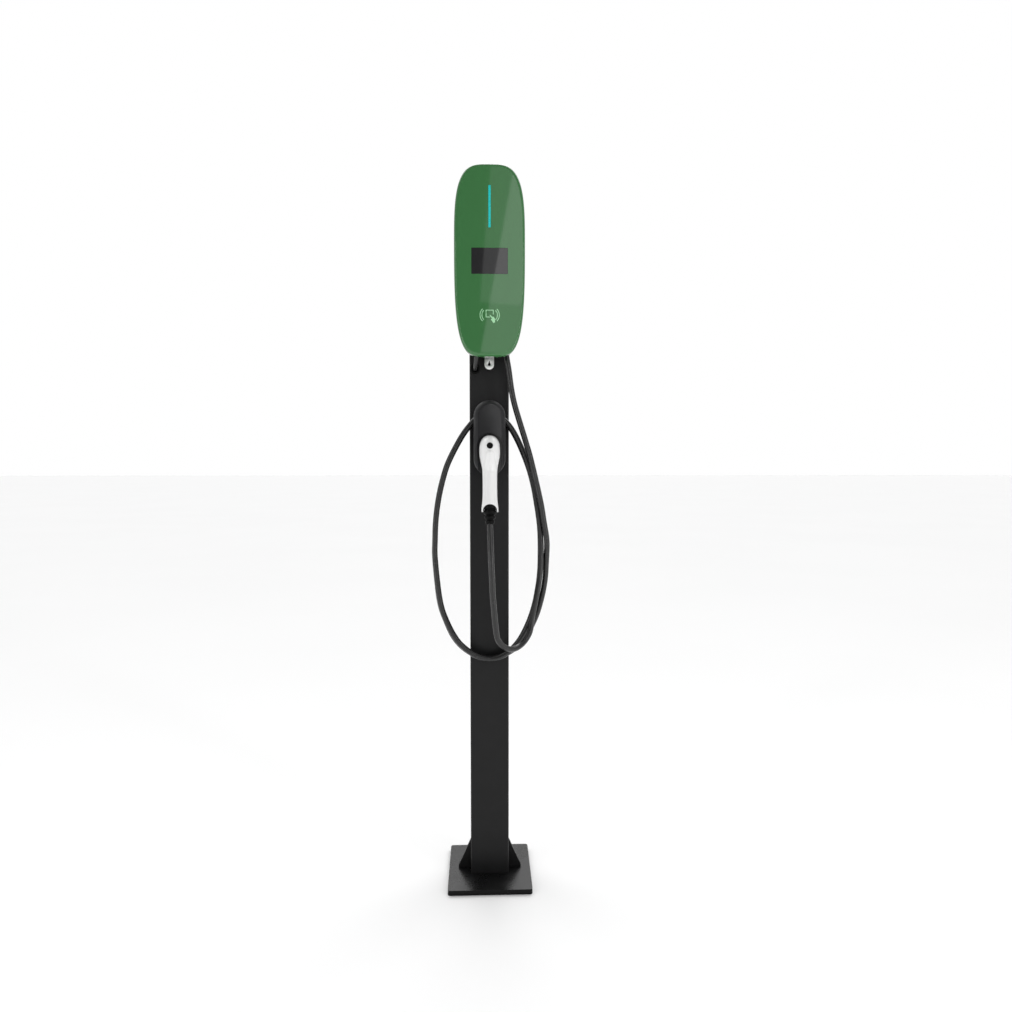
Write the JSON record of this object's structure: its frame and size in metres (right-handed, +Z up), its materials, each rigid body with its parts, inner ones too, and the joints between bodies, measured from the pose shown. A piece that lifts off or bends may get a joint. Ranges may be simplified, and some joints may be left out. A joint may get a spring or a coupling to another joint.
{
  "type": "ev charging post",
  "caption": "Free-standing electric vehicle charging post: base plate, column, wall-box head, and a connector held in a holder with its cable hung over it in two turns.",
  "frame": {"origin": "middle of the base plate's underside, on the axis of the supply entry", "axes": "+Z up along the column, -Y towards the front of the head, +X to the right seen from the front"},
  "size_m": [0.268, 0.261, 1.618],
  "materials": {
    "plate_coating": "satin powder coat, dark grey",
    "column_coating": "satin powder coat, charcoal",
    "bracket_coating": "matt powder coat",
    "cap_plastic": "moulded, fine texture",
    "soft_rubber": "moulded rubber",
    "fastener_steel": "zinc plated",
    "casing_plastic": "moulded, spark-eroded texture",
    "cover_green": "gloss, clear-coated",
    "lock_steel": "brushed stainless",
    "light_pipe": "emissive",
    "screen_glass": "gloss, tinted",
    "symbol_ink": "printed",
    "circuit_board": "solder mask",
    "display_black": "bezel",
    "device_grey": "moulded",
    "device_black": "moulded",
    "terminal_plastic": "moulded",
    "contact_brass": "plated",
    "lead_sheath": "smooth sheath",
    "cable_sheath": "smooth sheath, satin",
    "shield_gloss": "gloss",
    "connector_white": "gloss",
    "nose_plastic": "moulded",
    "button_black": "satin",
    "spring_steel": "drawn wire",
    "lever_zinc": "die cast"
  },
  "bodies": {
    "post": {"base_plate": "plate_coating", "column": "column_coating", "column_gussets": "column_coating", "column_cap": "cap_plastic", "column_grommet": "soft_rubber", "rivet_nuts": "fastener_steel", "head_bracket": "bracket_coating", "bracket_screws": "fastener_steel", "rear_casing": "casing_plastic", "casing_gasket": "soft_rubber", "front_cover": "cover_green", "cover_screws": "fastener_steel", "lock_tab": "lock_steel", "lock_tab_rivets": "fastener_steel", "light_bar": "light_pipe", "light_board": "circuit_board", "screen_window": "screen_glass", "display_module": "display_black", "tap_symbol": "symbol_ink", "card_antenna": "circuit_board", "main_board": "circuit_board", "component_plate": "fastener_steel", "contactor": "device_grey", "current_sensor": "device_black", "terminal_block": "terminal_plastic", "earth_stud": "contact_brass", "charging_gland": "casing_plastic", "charging_gland_nut": "casing_plastic", "supply_gland": "casing_plastic", "supply_gland_nut": "casing_plastic", "supply_lead": "lead_sheath", "lead_cores": "contact_brass", "charging_cable": "cable_sheath", "holder_base": "casing_plastic", "holder_screws": "fastener_steel", "holder_shield": "shield_gloss", "shield_screws": "fastener_steel", "socket_liner": "casing_plastic"},
    "connector": {"connector_left_shell": "connector_white", "connector_right_shell": "connector_white", "connector_nose": "nose_plastic", "contact_sleeves": "contact_brass", "nose_seal": "soft_rubber", "button_spring": "spring_steel", "latch_pin": "fastener_steel", "button_switch": "device_black", "cable_clamp": "fastener_steel", "cable_boot": "soft_rubber", "cable_end": "cable_sheath", "connector_screws": "fastener_steel"},
    "release_button": {"release_button": "button_black"},
    "latch": {"latch_lever": "lever_zinc"}
  },
  "joints": [
    {"name": "connector_pull", "type": "slide", "parent": "post", "child": "connector", "axis": [0, -1, 0], "range_m": [0, 0.06]},
    {"name": "button_press", "type": "slide", "parent": "connector", "child": "release_button", "axis": [0, 1, 0], "range_m": [0, 0.003], "stiffness_N_per_m": 400, "springref_m": -0.002, "deforming": ["button_spring"]},
    {"name": "latch_tilt", "type": "hinge", "parent": "connector", "child": "latch", "pos_m": [0, -0.11, 1.0378], "axis": [1, 0, 0], "range_deg": [0, 6]}
  ],
  "couplings": [
    {"joint": "latch_tilt", "follows": "button_press", "rad_per_m": 34.722}
  ]
}
